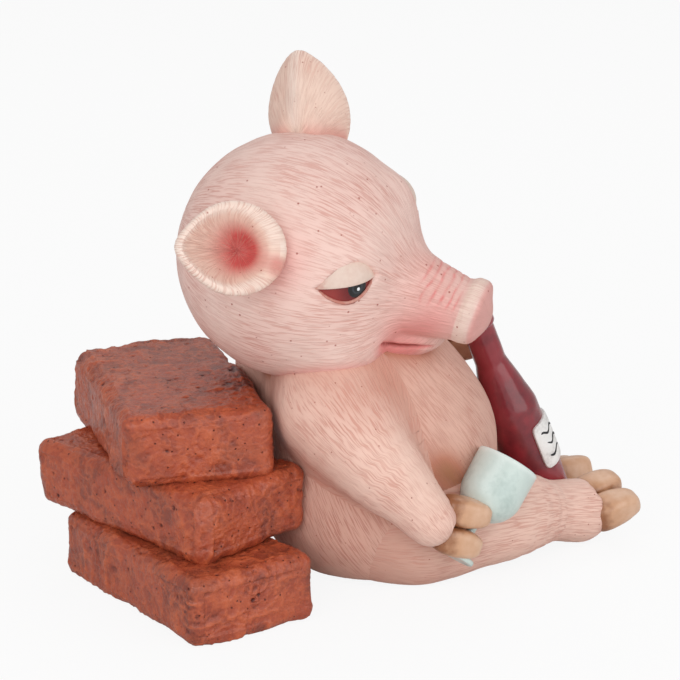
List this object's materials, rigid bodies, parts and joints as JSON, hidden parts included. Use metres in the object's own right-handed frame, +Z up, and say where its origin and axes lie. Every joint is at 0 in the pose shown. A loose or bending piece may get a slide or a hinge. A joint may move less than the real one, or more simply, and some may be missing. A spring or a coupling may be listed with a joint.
{
  "type": "pig figurine",
  "caption": "Seated cast-resin pig ornament that leans back on stacked bricks and holds a bottle and a wine glass.",
  "frame": {"origin": "middle of the flat that the pig sits on, on the table", "axes": "+X the way the pig sits facing, +Y to the pig's left, +Z up"},
  "size_m": [0.1474, 0.0934, 0.1289],
  "materials": {
    "skin": "painted resin, washed hair strokes",
    "hoof": "painted resin",
    "eye": "gloss lacquer",
    "eyelid": "painted resin",
    "bottle": "gloss paint",
    "label": "painted resin",
    "wine_glass": "painted resin",
    "brick": "painted resin, rough cast",
    "pin": "plain"
  },
  "bodies": {
    "root": {"torso": "skin", "head": "skin", "right_ear": "skin", "left_ear": "skin", "right_arm": "skin", "left_arm": "skin", "right_leg": "skin", "left_leg": "skin", "right_fore_hooves": "hoof", "left_fore_hooves": "hoof", "right_hind_hooves": "hoof", "left_hind_hooves": "hoof", "right_eyeball": "eye", "left_eyeball": "eye", "right_eyelid": "eyelid", "left_eyelid": "eyelid", "bottle": "bottle", "bottle_label": "label", "glass_bowl": "wine_glass", "glass_foot": "wine_glass", "brick_bottom": "brick", "brick_middle": "brick", "brick_top": "brick", "neck_dowel": "pin", "brick_pins": "pin"}
  },
  "joints": []
}
